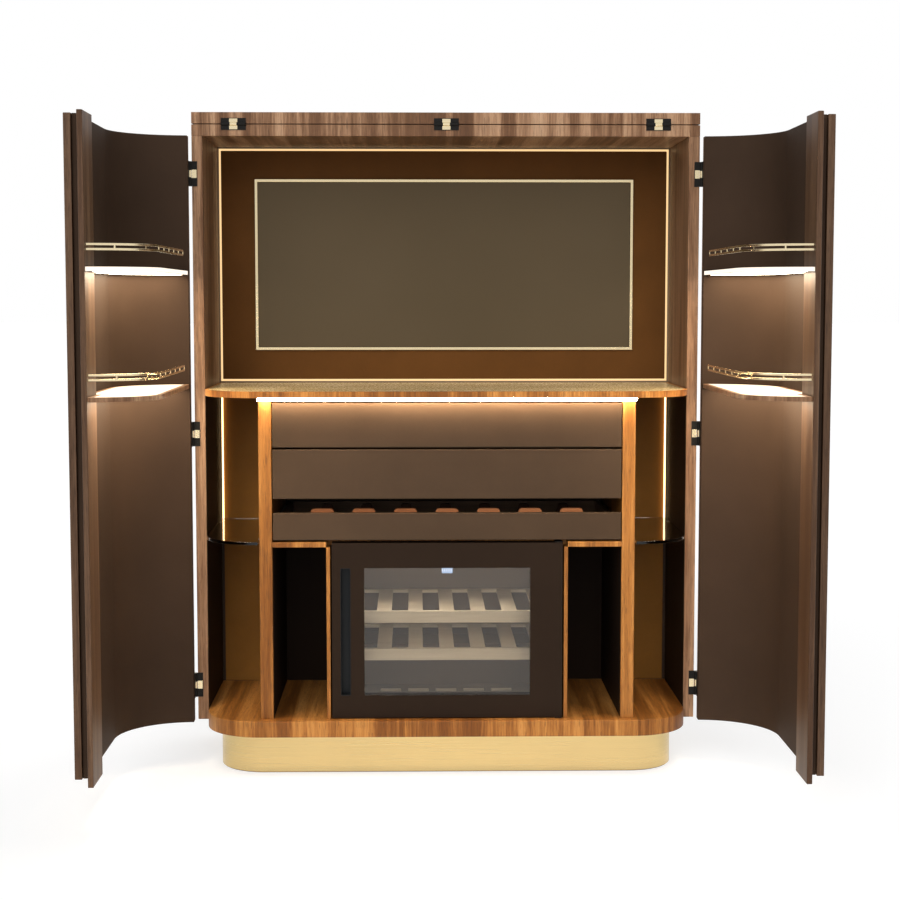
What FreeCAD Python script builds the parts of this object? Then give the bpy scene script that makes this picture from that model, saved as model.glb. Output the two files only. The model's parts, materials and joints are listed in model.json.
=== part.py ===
"""Bar armoire: a round-fronted cabinet shown open, with wrap-round doors and a fold-back lid.

Millimetres. X to the right, Y to the back, Z up. The origin is on the floor, midway between
the two door hinges, so Y = 0 is the front edge of the side panels.
"""
import FreeCAD
import Part
import math
import os

V = FreeCAD.Vector

# Carcass
case_width = 1312.0
case_depth = 370.0
side_thick = 28.0
back_thick = 18.0
plinth_height = 105.0
base_thick = 42.0
side_drop = 28.0
case_height = 1644.0
top_thick = 29.0
front_reach = 149.0
front_radius = 149.0
plinth_front_inset = 53.0
plinth_side_inset = 33.0
plinth_radius = 122.0
plinth_back_gap = 30.0
skin_thick = 3.0
skin_lift = 2.0

# Counter, its stone inlay and the back wall above it
counter_top_z = 993.0
counter_thick = 16.5
counter_rim = 9.0
stone_thick = 6.0
lining_back_thick = 12.0
led_width = 10.0
led_depth = 8.0
counter_led_set = 3.0
mirror_width = 1034.0
mirror_lift = 99.0
mirror_drop = 96.0
mirror_thick = 6.0
mirror_frame_width = 8.0
mirror_frame_proud = 2.0

# Lower front unit
unit_setback = 26.0
divider_inner = 447.5
divider_thick = 33.0
cooler_panel_inner = 300.0
cooler_panel_thick = 9.5
deck_thick = 13.5
glass_rise = 3.5
glass_thick = 8.0
glass_clear = 1.0
peg_radius = 2.5
peg_length = 8.0
peg_front_set = 63.0
peg_back_set = 62.0

# Drawers
front_thick = 20.0
front_side_gap = 2.0
upper_front_drop = 14.0
upper_front_height = 113.5
lower_front_height = 126.5
rack_front_height = 69.5
front_gap = 5.0
rack_slot = 36.5
drawer_back_gap = 26.0
drawer_wall = 12.0
drawer_bottom = 8.0
box_drop = 9.0
rack_box_height = 45.0
rack_box_lift = 5.0
runner_thick = 6.0
runner_height = 24.0
runner_short = 29.0
runner_clear = 0.4
runner_lift = 12.0
cradle_thick = 14.0
cradle_end_gap = 1.0
cradle_pitch = 107.0
cradle_end_land = 4.0
cradle_end_rise = 3.0
front_cradle_set = 14.0
front_cradle_rise = 64.0
front_hollow_radius = 24.0
front_hollow_depth = 34.0
rear_cradle_set = 280.0
rear_cradle_rise = 46.0
rear_hollow_radius = 40.0
rear_hollow_depth = 38.0
crest_round = 9.0
crest_round_share = 0.9

# Wine cooler
cooler_door_width = 592.0
cooler_door_top_gap = 3.0
cooler_door_floor_gap = 3.0
cooler_door_thick = 42.0
cooler_wall = 30.0
cooler_side_air = 6.0
cooler_top_air = 6.5
cooler_back_gap = 17.0
gasket_thick = 6.6
gasket_gap = 0.4
gasket_width = 16.0
gasket_margin = 9.5
window_width = 426.0
window_bottom_margin = 58.0
window_top_margin = 64.5
pane_thick = 20.0
pane_set = 2.0
grip_width = 26.0
grip_margin = 22.0
grip_depth = 24.0
grip_liner = 2.0
display_width = 28.0
display_height = 16.0
display_thick = 6.0
pivot_inset = 7.0
pivot_radius = 3.0
pivot_length = 13.0
pivot_plate = 1.6
pivot_plate_width = 24.0
running_clear = 0.05
shelf_rail_height = 30.0
shelf_rail_thick = 18.0
shelf_rail_set = 8.0
shelf_side_gap = 0.3
shelf_back_gap = 12.0
slat_count = 7
slat_width = 38.0
slat_thick = 8.0
cooler_shelf_lift = (113.0, 211.0)
bay_depth = 140.0
bay_height = 103.0
bay_panel = 8.0
compressor_radius = 52.0
compressor_height = 92.0

# Doors, drawn shut and then swung open
door_shell_thick = 17.0
door_lining_thick = 11.0
glue_line = 0.2
door_radius = 206.0
door_gap = 4.0
door_top_gap = 2.0
door_open_angle = 90.0
recess_half = 71.0
lining_short = 10.0
stile_width = 119.0
stile_thick = 28.0
stile_lip = 13.0
stile_rib = 36.0
meeting_half = 1.5
door_shelf_thick = 11.0
lower_shelf_lift = 2.5
door_shelf_space = 280.5
shelf_free_gap = 6.0
shelf_end_gap = 8.0
shelf_land = 4.0
rail_inset = 4.0
rail_thick = 2.5
rail_bar_height = 5.0
rail_low_lift = 36.0
rail_high_lift = 47.0
rail_link_width = 4.0
rail_link_count = 6
rail_bend_links = (30.0, 65.0)
rail_start_gap = 50.0
shelf_light_inset = 12.0
shelf_light_thick = 2.0

# Hinges of the doors and of the lid
hinge_height = 64.0
hinge_leaf_width = 14.0
hinge_leaf_thick = 1.8
hinge_barrel_radius = 4.5
hinge_pin_radius = 2.0
hinge_axis_out = 5.0
hinge_knuckle_share = 0.36
hinge_joint_gap = 0.3
low_hinge_up = 93.0
middle_hinge_drop = 101.5
high_hinge_down = 95.0
lid_hinge_inset = 108.0
lid_fold_gap = 2.4
lid_barrel_clear = 0.5

# Worked-out places
half = case_width / 2
inner_half = half - side_thick
base_top = plinth_height + base_thick
side_bottom = base_top - side_drop
back_y = case_depth - back_thick
lining_y = back_y - lining_back_thick
front_y = -front_reach
unit_y = front_y + unit_setback
counter_under = counter_top_z - counter_thick
upper_front_z1 = counter_under - upper_front_drop
upper_front_z0 = upper_front_z1 - upper_front_height
lower_front_z1 = upper_front_z0 - front_gap
lower_front_z0 = lower_front_z1 - lower_front_height
rack_front_z1 = lower_front_z0 - rack_slot
rack_front_z0 = rack_front_z1 - rack_front_height
deck_top_z = rack_front_z0 - front_gap
glass_top_z = deck_top_z + glass_rise
deck_under = deck_top_z - deck_thick
divider_outer = divider_inner + divider_thick
top_z = case_height + top_thick
mirror_z = counter_top_z + mirror_lift
mirror_top = case_height - mirror_drop
box_half = divider_inner - 2 * runner_thick - runner_clear
cradle_half = box_half - drawer_wall - cradle_end_gap
hollow_room = 2 * (cradle_half - rear_hollow_radius - cradle_end_land)
hollow_count = int(hollow_room // cradle_pitch) + 1
drawer_y = unit_y + front_thick
drawer_length = back_y - drawer_back_gap - drawer_y
runner_length = drawer_length - runner_short

door_axis_x = -half - hinge_axis_out
door_axis_y = -door_gap / 2
door_face_r = door_radius - door_shell_thick - door_lining_thick
arc_x = -half + door_radius
arc_y = -door_gap
door_top = case_height - door_top_gap
door_in_y = arc_y - door_face_r
stile_in_y = door_in_y + stile_thick
shelf_corner = -shelf_free_gap - stile_in_y - shelf_land
door_hinge_z = (side_bottom + low_hinge_up, counter_under - middle_hinge_drop, door_top - high_hinge_down)
lid_hinge_x = (lid_hinge_inset - half, 0.0, half - lid_hinge_inset)
lid_axis_y = -door_gap / 2
lid_axis_z = top_z + lid_fold_gap / 2

cooler_half = cooler_panel_inner - cooler_side_air
cooler_front_y = unit_y + cooler_door_thick + gasket_thick + gasket_gap
cooler_back_y = back_y - cooler_back_gap
cooler_top = deck_under - cooler_top_air
cooler_room_half = cooler_half - cooler_wall
cooler_floor = base_top + cooler_wall
cooler_door_half = cooler_door_width / 2
cooler_door_z0 = base_top + cooler_door_floor_gap
cooler_door_z1 = deck_top_z - cooler_door_top_gap
cooler_door_back = unit_y + cooler_door_thick
window_bottom = cooler_door_z0 + window_bottom_margin
window_top = cooler_door_z1 - window_top_margin
pivot_x = cooler_door_half - pivot_inset
pivot_y = unit_y + pivot_inset


def box(x0, x1, y0, y1, z0, z1):
    """A box between two corners."""
    return Part.makeBox(x1 - x0, y1 - y0, z1 - z0, V(x0, y0, z0))


def rod(radius, length, start, direction):
    """A round bar from a start point along a direction."""
    return Part.makeCylinder(radius, length, start, direction)


def arc(center, radius, start_deg, end_deg):
    """A plan arc as an edge, from one angle to another."""
    points = []
    for angle in (start_deg, (start_deg + end_deg) / 2, end_deg):
        turn = math.radians(angle)
        points.append(V(center.x + radius * math.cos(turn), center.y + radius * math.sin(turn), 0))
    return Part.Arc(*points).toShape()


def prism(edges, z0, z1):
    """A plan outline raised from z0 to z1."""
    face = Part.Face(Part.Wire(Part.__sortEdges__(edges)))
    solid = face.extrude(V(0, 0, z1 - z0))
    solid.translate(V(0, 0, z0))
    return solid


def line(x0, y0, x1, y1):
    """A straight plan edge."""
    return Part.LineSegment(V(x0, y0, 0), V(x1, y1, 0)).toShape()


def rounded_front(half_width, y_front, y_back, radius, z0, z1):
    """A board with a straight back and two round front corners."""
    x_arc = half_width - radius
    y_arc = y_front + radius
    edges = [
        line(-half_width, y_back, half_width, y_back),
        arc(V(x_arc, y_arc, 0), radius, 0, -90),
        line(x_arc, y_front, -x_arc, y_front),
        arc(V(-x_arc, y_arc, 0), radius, -90, -180),
    ]
    if y_back > y_arc:
        edges += [line(x, y_back, x, y_arc) for x in (-half_width, half_width)]
    return prism(edges, z0, z1)


def mirrored(shape):
    """The same piece on the other side of the middle plane."""
    return shape.mirror(V(0, 0, 0), V(1, 0, 0))


def both_sides(shape):
    """A piece and its mirror image."""
    return [shape, mirrored(shape)]


def save(name, *solids):
    """Write one node, made of one or more separate solids."""
    shape = solids[0] if len(solids) == 1 else Part.makeCompound(list(solids))
    for solid in shape.Solids:
        if not solid.isValid() or solid.Volume <= 0:
            raise ValueError(name + " has a bad solid")
    shape.exportStep("parts/" + name + ".step")
    print(name, len(shape.Solids), round(shape.Volume / 1000.0, 1), "cm3")


def make_plinth():
    """A weighted core in a bright metal skin, set back under the base board."""
    half_width = inner_half - plinth_side_inset
    front = front_y + plinth_front_inset
    back = case_depth - plinth_back_gap
    outer = rounded_front(half_width, front, back, plinth_radius, skin_lift, plinth_height)
    core = rounded_front(half_width - skin_thick, front + skin_thick, back,
                         plinth_radius - skin_thick, 0, plinth_height)
    save("plinth_core", core)
    save("plinth_skin", outer.cut(core))


def make_case():
    """Base board, sides, fixed top and back."""
    save("base_board", rounded_front(inner_half, front_y, back_y, front_radius, plinth_height, base_top))
    side = box(-half, -inner_half, 0, case_depth, side_bottom, case_height)
    save("side_left", side)
    save("side_right", mirrored(side))
    top = box(-half, half, 0, case_depth, case_height, top_z)
    for x in lid_hinge_x:
        top = top.cut(lid_barrel_room(x))
    save("top_board", top)
    save("back_panel", box(-inner_half, inner_half, back_y, case_depth, side_bottom, case_height))


def make_counter():
    """A wood-edged counter with a stone inlay."""
    board = rounded_front(inner_half, front_y, lining_y, front_radius, counter_under, counter_top_z)
    stone = rounded_front(inner_half - counter_rim, front_y + counter_rim, lining_y - counter_rim,
                          front_radius - counter_rim, counter_top_z - stone_thick, counter_top_z)
    save("counter_board", board.cut(stone))
    save("counter_stone", stone)


def make_back_wall():
    """Padded wall, framed mirror and the light lines round them."""
    wall_half = inner_half - led_width
    wall_bottom = counter_under + led_width + counter_thick
    wall_top = case_height - led_width
    save("back_lining", box(-wall_half, wall_half, lining_y, back_y, wall_bottom, wall_top))
    mirror_half = mirror_width / 2
    glass = box(-mirror_half, mirror_half, lining_y - mirror_thick, lining_y,
                mirror_z, mirror_top)
    frame_half = mirror_half + mirror_frame_width
    frame = box(-frame_half, frame_half, lining_y - mirror_thick - mirror_frame_proud, lining_y,
                mirror_z - mirror_frame_width, mirror_top + mirror_frame_width)
    window = box(-mirror_half, mirror_half, lining_y - 2 * mirror_thick, lining_y + mirror_thick,
                 mirror_z, mirror_top)
    save("mirror", glass)
    save("mirror_frame", frame.cut(window))
    led_y = back_y - led_depth
    upright = box(-inner_half, -wall_half, led_y, back_y, counter_top_z, wall_top)
    strips = both_sides(upright)
    strips.append(box(-inner_half, inner_half, led_y, back_y, wall_top, case_height))
    strips.append(box(-wall_half, wall_half, led_y, back_y, counter_top_z, wall_bottom))
    strips.append(box(-divider_outer, divider_outer, front_y + counter_led_set,
                      front_y + counter_led_set + led_depth, counter_under - led_depth, counter_under))
    strips += both_sides(box(-inner_half, -inner_half + led_depth, led_y, back_y,
                             glass_top_z, counter_under))
    save("case_led_strips", *strips)


def make_lower_unit():
    """Dividers, the deck under the drawers, and the round-cornered glass shelves."""
    divider = box(-divider_outer, -divider_inner, unit_y, back_y, base_top, counter_under)
    save("dividers", *both_sides(divider))
    panel_outer = cooler_panel_inner + cooler_panel_thick
    panel = box(-panel_outer, -cooler_panel_inner, unit_y, back_y, base_top, deck_under)
    save("cooler_side_panels", *both_sides(panel))
    deck = box(-divider_inner, divider_inner, unit_y, back_y, deck_under, deck_top_z)
    notch = box(-panel_outer, panel_outer, unit_y, cooler_door_back + front_side_gap,
                deck_under, deck_top_z)
    save("drawer_deck", deck.cut(notch))
    glass_z = glass_top_z - glass_thick
    whole = rounded_front(inner_half - glass_clear, front_y + glass_clear, back_y - glass_clear,
                          front_radius - glass_clear, glass_z, glass_top_z)
    middle = box(-divider_outer - glass_clear, divider_outer + glass_clear, front_y, back_y,
                 glass_z, glass_top_z)
    save("glass_shelves", *whole.cut(middle).Solids)
    pegs = []
    for y in (unit_y + peg_front_set, back_y - peg_back_set):
        if y > 0:
            outer = V(-inner_half, y, glass_z - peg_radius)
            pegs += both_sides(rod(peg_radius, peg_length, outer, V(1, 0, 0)))
        inner = V(-divider_outer, y, glass_z - peg_radius)
        pegs += both_sides(rod(peg_radius, peg_length, inner, V(-1, 0, 0)))
    save("shelf_pegs", *pegs)


def drawer_box(z0, z1):
    """Two sides, a back, an inner front and a bottom, as glued boards."""
    y0 = drawer_y
    y1 = drawer_y + drawer_length
    inside = box_half - drawer_wall
    boards = both_sides(box(-box_half, -inside, y0, y1, z0, z1))
    boards.append(box(-inside, inside, y0, y0 + drawer_wall, z0, z1))
    boards.append(box(-inside, inside, y1 - drawer_wall, y1, z0, z1))
    boards.append(box(-inside, inside, y0 + drawer_wall, y1 - drawer_wall, z0, z0 + drawer_bottom))
    return boards


def runner_pair(x_out, z0):
    """A left and right slide bar whose outer face is at x_out."""
    bar = box(-x_out, -x_out + runner_thick, drawer_y, drawer_y + runner_length, z0, z0 + runner_height)
    return both_sides(bar)


def make_drawers():
    """Two drawers and a pull-out rack on side runners."""
    front_half = divider_inner - front_side_gap
    fixed = []
    places = (("upper", upper_front_z0, upper_front_z1, None),
              ("lower", lower_front_z0, lower_front_z1, None),
              ("rack", rack_front_z0, rack_front_z1, rack_box_height))
    for name, z0, z1, height in places:
        front = box(-front_half, front_half, unit_y, drawer_y, z0, z1)
        save(name + "_drawer_front", front)
        box_z0 = z0 + (box_drop if height is None else rack_box_lift)
        box_z1 = z1 - box_drop if height is None else box_z0 + height
        save(name + "_drawer_box", *drawer_box(box_z0, box_z1))
        runner_z = box_z0 + runner_lift
        fixed += runner_pair(divider_inner, runner_z)
        save(name + "_drawer_runners", *runner_pair(divider_inner - runner_thick - runner_clear, runner_z))
    save("drawer_runners_fixed", *fixed)
    make_cradles(rack_front_z0 + rack_box_lift + drawer_bottom)


def cradle(set_back, floor, rise, radius, depth):
    """One scalloped rail across the rack, with a row of hollows and rounded crests."""
    y0 = drawer_y + set_back
    crest = floor + rise
    last_x = (hollow_count - 1) / 2 * cradle_pitch
    land = min(cradle_half - last_x - radius, cradle_pitch / 2 - radius)
    rail = box(-cradle_half, cradle_half, y0, y0 + cradle_thick, floor, crest)
    for i in range(hollow_count):
        x = i * cradle_pitch - last_x
        bed = V(x, y0, crest - depth + radius)
        rail = rail.cut(rod(radius, cradle_thick, bed, V(0, 1, 0)))
        if depth > radius:
            rail = rail.cut(box(x - radius, x + radius, y0, y0 + cradle_thick, bed.z, crest))
    low_end = crest - depth + cradle_end_rise
    for end in both_sides(box(-cradle_half, -last_x, y0, y0 + cradle_thick, low_end, crest)):
        rail = rail.cut(end)
    corners = [edge for edge in rail.Edges if abs(edge.CenterOfMass.z - crest) < glue_line
               and abs(edge.CenterOfMass.x) < cradle_half - glue_line
               and abs(edge.CenterOfMass.y - y0 - cradle_thick / 2) < glue_line]
    return rail.makeFillet(min(crest_round, crest_round_share * land), corners)


def make_cradles(floor):
    """Two scalloped rails: deep narrow hollows in front, wide ones behind."""
    save("rack_cradles",
         cradle(front_cradle_set, floor, front_cradle_rise, front_hollow_radius, front_hollow_depth),
         cradle(rear_cradle_set, floor, rear_cradle_rise, rear_hollow_radius, rear_hollow_depth))


def make_cooler():
    """Insulated housing with a machine bay, two slatted shelves and the compressor."""
    room = cooler_room_half
    back_in = cooler_back_y - cooler_wall
    ceiling = cooler_top - cooler_wall
    bay_y = back_in - bay_depth
    bay_top = cooler_floor + bay_height
    walls = both_sides(box(-cooler_half, -room, cooler_front_y, cooler_back_y, base_top, cooler_top))
    walls.append(box(-room, room, cooler_front_y, cooler_back_y, base_top, cooler_floor))
    walls.append(box(-room, room, cooler_front_y, cooler_back_y, ceiling, cooler_top))
    walls.append(box(-room, room, back_in, cooler_back_y, cooler_floor, ceiling))
    walls.append(box(-room, room, bay_y, bay_y + bay_panel, cooler_floor, bay_top))
    walls.append(box(-room, room, bay_y, back_in, bay_top, bay_top + bay_panel))
    save("cooler_housing", *walls)
    can = rod(compressor_radius, compressor_height,
              V(room / 2, back_in - bay_depth / 2 + bay_panel / 2, cooler_floor), V(0, 0, 1))
    crown = [edge for edge in can.Edges if abs(edge.CenterOfMass.z - cooler_floor) > compressor_height / 2
             and edge.Curve.TypeId == "Part::GeomCircle"]
    save("cooler_compressor", can.makeFillet(compressor_radius / 3, crown))
    save("cooler_shelves", *[piece for lift in cooler_shelf_lift
                             for piece in cooler_shelf(cooler_floor + lift, back_in)])


def cooler_shelf(z0, back_in):
    """A wooden front rail, slats running back and a rear rail, as separate glued sticks."""
    width = cooler_room_half - shelf_side_gap
    y0 = cooler_front_y + shelf_rail_set
    y1 = back_in - shelf_back_gap
    slat_y0 = y0 + shelf_rail_thick
    slat_y1 = y1 - shelf_rail_thick
    top = z0 + shelf_rail_height
    bed = top - slat_thick
    sticks = [box(-width, width, y0, slat_y0, z0, top)]
    sticks.append(box(-width, width, slat_y1, y1, bed, top))
    step = (2 * width - slat_width) / (slat_count - 1)
    for i in range(slat_count):
        x0 = -width + i * step
        sticks.append(box(x0, x0 + slat_width, slat_y0, slat_y1, bed, top))
    return sticks


def make_cooler_door():
    """Framed glass door with a sunk grip, a gasket and a pivot pin at the top and the bottom."""
    z0 = cooler_door_z0
    z1 = cooler_door_z1
    window_half = window_width / 2
    grip_x = -cooler_door_half + grip_margin
    frame = box(-cooler_door_half, cooler_door_half, unit_y, cooler_door_back, z0, z1)
    frame = frame.cut(box(-window_half, window_half, unit_y, cooler_door_back, window_bottom, window_top))
    grip = box(grip_x, grip_x + grip_width, unit_y, unit_y + grip_depth, window_bottom, window_top)
    frame = frame.cut(grip)
    for z, up in ((z0, 1), (z1, -1)):
        hole = rod(pivot_radius + running_clear, pivot_length, V(pivot_x, pivot_y, z), V(0, 0, up))
        frame = frame.cut(hole)
    save("cooler_door_frame", frame)
    hollow = box(grip_x + grip_liner, grip_x + grip_width - grip_liner, unit_y,
                 unit_y + grip_depth - grip_liner, window_bottom + grip_liner, window_top - grip_liner)
    save("cooler_grip", grip.cut(hollow))
    pane_y = unit_y + pane_set
    pane = box(-window_half, window_half, pane_y, pane_y + pane_thick, window_bottom, window_top)
    save("cooler_door_glass", pane)
    display_half = display_width / 2
    save("cooler_display", box(-display_half, display_half, pane_y + pane_thick,
                               pane_y + pane_thick + display_thick,
                               window_top - display_height, window_top))
    seal_half = cooler_door_half - gasket_margin
    seal = box(-seal_half, seal_half, cooler_door_back, cooler_door_back + gasket_thick,
               z0 + gasket_margin, cooler_top - gasket_margin)
    seal_in = seal_half - gasket_width
    seal = seal.cut(box(-seal_in, seal_in, cooler_door_back, cooler_door_back + gasket_thick,
                        z0 + gasket_margin + gasket_width, cooler_top - gasket_margin - gasket_width))
    save("cooler_gasket", seal)
    plate_half = pivot_plate_width / 2
    brackets = []
    for seat, up in ((base_top, 1), (deck_top_z, -1)):
        far = seat + up * pivot_plate
        plate = box(pivot_x - plate_half, pivot_x + pivot_inset, unit_y, cooler_door_back + front_side_gap,
                    min(seat, far), max(seat, far))
        pin = rod(pivot_radius, pivot_length, V(pivot_x, pivot_y, seat), V(0, 0, up))
        brackets.append(plate.fuse(pin).removeSplitter())
    save("cooler_pivots", *brackets)


def door_band(r_in, r_out, x_end):
    """A bent board of the left door, shut: round from the hinge to the front, then straight."""
    c = V(arc_x, arc_y, 0)
    edges = [
        line(c.x - r_in, c.y, c.x - r_out, c.y),
        arc(c, r_out, 180, 270),
        line(c.x, c.y - r_out, x_end, c.y - r_out),
        line(x_end, c.y - r_out, x_end, c.y - r_in),
        line(x_end, c.y - r_in, c.x, c.y - r_in),
        arc(c, r_in, 270, 180),
    ]
    return prism(edges, side_bottom, door_top)


def door_stile():
    """The meeting stile of the shut left door: a thin board on a rib that stands it off the lining."""
    x0 = -meeting_half - stile_width
    board = box(x0, -meeting_half, stile_in_y - stile_lip, stile_in_y, side_bottom, door_top)
    rib = box(x0, x0 + stile_rib, door_in_y, stile_in_y, side_bottom, door_top)
    return board.fuse(rib).removeSplitter()


def door_shelf_edges(inset):
    """The free edge of a door shelf, shut: straight along the back, round to the meeting stile."""
    y_free = -shelf_free_gap - inset
    x_end = -shelf_end_gap - inset
    c = V(-shelf_end_gap - shelf_corner, -shelf_free_gap - shelf_corner, 0)
    return y_free, x_end, c


def door_shelf_plan(inset, z0, z1):
    """The plan of a shelf that fits the inside of the shut left door, drawn in by an inset."""
    y_free, x_end, c = door_shelf_edges(inset)
    reach = door_face_r - glue_line - inset
    x_tip = arc_x - math.sqrt(reach ** 2 - (y_free - arc_y) ** 2)
    turn = math.degrees(math.atan2(y_free - arc_y, x_tip - arc_x)) % 360
    stile_x = -meeting_half - stile_width - inset
    y_stile = stile_in_y + inset
    edges = [
        line(x_tip, y_free, c.x, y_free),
        line(stile_x, y_stile, stile_x, arc_y - reach),
        line(stile_x, arc_y - reach, arc_x, arc_y - reach),
        arc(V(arc_x, arc_y, 0), reach, 270, turn),
    ]
    corner_r = shelf_corner - inset
    if y_stile < c.y:
        edges.append(arc(c, corner_r, 90, 0))
        edges.append(line(x_end, c.y, x_end, y_stile))
        edges.append(line(x_end, y_stile, stile_x, y_stile))
    else:
        rise = math.asin((y_stile - c.y) / corner_r)
        edges.append(arc(c, corner_r, 90, math.degrees(rise)))
        edges.append(line(c.x + corner_r * math.cos(rise), y_stile, stile_x, y_stile))
    return prism(edges, z0, z1)


def door_shelf(z0):
    """A door shelf with a light panel let into its top and another into its underside."""
    z1 = z0 + door_shelf_thick
    above = door_shelf_plan(shelf_light_inset, z1 - shelf_light_thick, z1)
    below = door_shelf_plan(shelf_light_inset, z0, z0 + shelf_light_thick)
    return door_shelf_plan(0, z0, z1).cut(above).cut(below), above, below


def rail_bar(z0):
    """One bar of the gallery rail along the free edge of the shelf: a straight piece and a bend."""
    y_out, x_out, c = door_shelf_edges(rail_inset)
    r_out = shelf_corner - rail_inset
    r_in = r_out - rail_thick
    x_start = arc_x - door_face_r + rail_start_gap
    bend = [
        arc(c, r_out, 90, 0),
        line(x_out, c.y, x_out, stile_in_y),
        line(x_out, stile_in_y, x_out - rail_thick, stile_in_y),
        line(x_out - rail_thick, stile_in_y, x_out - rail_thick, c.y),
        arc(c, r_in, 0, 90),
        line(c.x, y_out - rail_thick, c.x, y_out),
    ]
    z1 = z0 + rail_bar_height
    return [box(x_start, c.x, y_out - rail_thick, y_out, z0, z1), prism(bend, z0, z1)]


def gallery_rail(shelf_top):
    """Two thin bars above a door shelf, let into the stile at one end and tied by short links."""
    low = shelf_top + rail_low_lift
    high = shelf_top + rail_high_lift
    pieces = rail_bar(low) + rail_bar(high)
    y_out, _, c = door_shelf_edges(rail_inset)
    x_start = arc_x - door_face_r + rail_start_gap
    step = (c.x - x_start - rail_link_width) / (rail_link_count - 1)
    z0 = low + rail_bar_height
    for i in range(rail_link_count):
        x0 = x_start + i * step
        pieces.append(box(x0, x0 + rail_link_width, y_out - rail_thick, y_out, z0, high))
    half = rail_link_width / 2
    for turn in rail_bend_links:
        link = box(c.x - half, c.x + half, y_out - rail_thick, y_out, z0, high)
        pieces.append(link.rotated(V(c.x, c.y, 0), V(0, 0, 1), -turn))
    return pieces


def hinge_knuckle(length, at, direction, start, end):
    """A length of hinge barrel with its pin bore, between two shares of the hinge height."""
    offset = V(direction).multiply(length * (start - 0.5))
    size = length * (end - start)
    body = rod(hinge_barrel_radius, size, at + offset, direction)
    return body.cut(rod(hinge_pin_radius + running_clear, size, at + offset, direction))


def door_hinge(z):
    """Leaf for the case, leaf for the shut left door, and the pin between them."""
    at = V(door_axis_x, door_axis_y, z)
    up = V(0, 0, 1)
    low = hinge_knuckle_share
    gap = hinge_joint_gap / hinge_height
    z0 = z - hinge_height / 2
    z1 = z + hinge_height / 2
    bore = rod(hinge_pin_radius + running_clear, hinge_height, V(at.x, at.y, z0), up)
    middle = (z0 + hinge_height * low, z1 - hinge_height * low)
    on_case = box(at.x, -half + hinge_leaf_width, -hinge_leaf_thick, 0, z0, z1)
    on_case = on_case.cut(box(at.x - hinge_barrel_radius, -half, -door_gap, 0,
                              middle[0] - hinge_joint_gap, middle[1] + hinge_joint_gap))
    for start, end in ((0, low - gap), (1 - low + gap, 1)):
        on_case = on_case.fuse(hinge_knuckle(hinge_height, at, up, start, end))
    on_case = on_case.cut(bore)
    on_door = box(at.x, -half + hinge_leaf_width, -door_gap, -door_gap + hinge_leaf_thick, z0, z1)
    for low_z, high_z in ((z0, middle[0]), (middle[1], z1)):
        on_door = on_door.cut(box(at.x - hinge_barrel_radius, -half, -door_gap, 0, low_z, high_z))
    on_door = on_door.fuse(hinge_knuckle(hinge_height, at, up, low, 1 - low)).cut(bore)
    pin = rod(hinge_pin_radius, hinge_height, V(at.x, at.y, z0), up)
    return on_case.removeSplitter(), on_door.removeSplitter(), pin


def lid_barrel_room(x):
    """The groove that clears a lid hinge barrel."""
    length = hinge_height + 2 * lid_barrel_clear
    start = V(x - length / 2, lid_axis_y, lid_axis_z)
    return rod(hinge_barrel_radius + lid_barrel_clear, length, start, V(1, 0, 0))


def lid_hinge(x):
    """Leaf for the fixed top, leaf for the folded lid, and the pin between them."""
    at = V(x, lid_axis_y, lid_axis_z)
    along = V(1, 0, 0)
    low = hinge_knuckle_share
    gap = hinge_joint_gap / hinge_height
    x0 = x - hinge_height / 2
    x1 = x + hinge_height / 2
    bore = rod(hinge_pin_radius + running_clear, hinge_height, V(x0, at.y, at.z), along)
    middle = (x0 + hinge_height * low, x1 - hinge_height * low)
    on_top = box(x0, x1, -hinge_leaf_thick, 0, top_z - hinge_leaf_width, at.z)
    on_top = on_top.cut(box(middle[0] - hinge_joint_gap, middle[1] + hinge_joint_gap, -door_gap, 0,
                            at.z - hinge_barrel_radius - hinge_joint_gap, at.z))
    for start, end in ((0, low - gap), (1 - low + gap, 1)):
        on_top = on_top.fuse(hinge_knuckle(hinge_height, at, along, start, end))
    on_top = on_top.cut(bore)
    on_lid = box(x0, x1, -hinge_leaf_thick, 0, at.z, at.z + lid_fold_gap / 2 + hinge_leaf_width)
    for low_x, high_x in ((x0, middle[0]), (middle[1], x1)):
        on_lid = on_lid.cut(box(low_x, high_x, -door_gap, 0, at.z,
                                at.z + hinge_barrel_radius + hinge_joint_gap))
    on_lid = on_lid.fuse(hinge_knuckle(hinge_height, at, along, low, 1 - low)).cut(bore)
    pin = rod(hinge_pin_radius, hinge_height, V(x0, at.y, at.z), along)
    return on_top.removeSplitter(), on_lid.removeSplitter(), pin


def swing_open(shape):
    """Turn a piece of the shut left door to its open place."""
    return shape.rotated(V(door_axis_x, door_axis_y, 0), V(0, 0, 1), -door_open_angle)


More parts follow.
